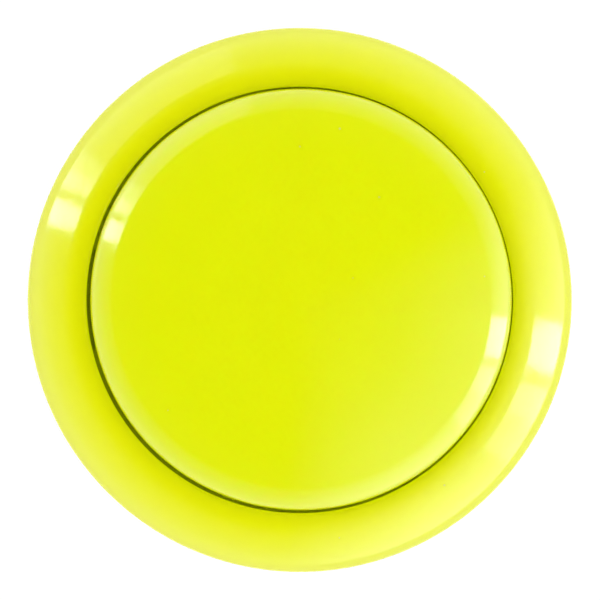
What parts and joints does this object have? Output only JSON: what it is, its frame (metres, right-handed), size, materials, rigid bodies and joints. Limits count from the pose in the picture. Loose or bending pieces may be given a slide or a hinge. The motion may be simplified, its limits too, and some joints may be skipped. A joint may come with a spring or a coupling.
{
  "type": "arcade push button",
  "caption": "Round snap-in push button with a domed plunger in a rounded rim, spring return and an enclosed snap-action switch with push-on terminal tabs.",
  "frame": {"origin": "centre of the rim's underside, where it lies on the panel", "axes": "+Z out of the panel towards the finger, X along the switch from the common terminal to the open one"},
  "size_m": [0.0333, 0.0332, 0.0345],
  "materials": {
    "body_yellow": "glossy moulded plastic",
    "switch_black": "satin moulded plastic",
    "actuator_white": "smooth off-white plastic",
    "spring_steel": "drawn spring wire",
    "contact_brass": "stamped strip",
    "contact_silver": "silver contact face"
  },
  "bodies": {
    "housing": {"housing": "body_yellow", "switch_case": "switch_black", "switch_cover": "switch_black", "common_terminal": "contact_brass", "open_terminal": "contact_brass", "fixed_contact": "contact_silver", "return_spring": "spring_steel", "snap_spring": "spring_steel"},
    "plunger": {"plunger": "body_yellow"},
    "actuator": {"switch_actuator": "actuator_white"},
    "lever": {"contact_lever": "contact_brass", "moving_contact": "contact_silver"}
  },
  "joints": [
    {"name": "plunger_press", "type": "slide", "parent": "housing", "child": "plunger", "axis": [0, 0, -1], "range_m": [0, 0.0024], "stiffness_N_per_m": 180, "springref_m": -0.003, "deforming": ["return_spring"]},
    {"name": "actuator_press", "type": "slide", "parent": "housing", "child": "actuator", "axis": [0, 0, -1], "range_m": [0, 0.0024], "deforming": ["snap_spring"]},
    {"name": "lever_rock", "type": "hinge", "parent": "housing", "child": "lever", "pos_m": [0.0012, 0, -0.0156], "axis": [0, 1, 0], "range_deg": [0, 11.17]}
  ],
  "couplings": [
    {"joint": "actuator_press", "follows": "plunger_press", "ratio": 1},
    {"joint": "lever_rock", "follows": "plunger_press", "rad_per_m": 81.15}
  ]
}
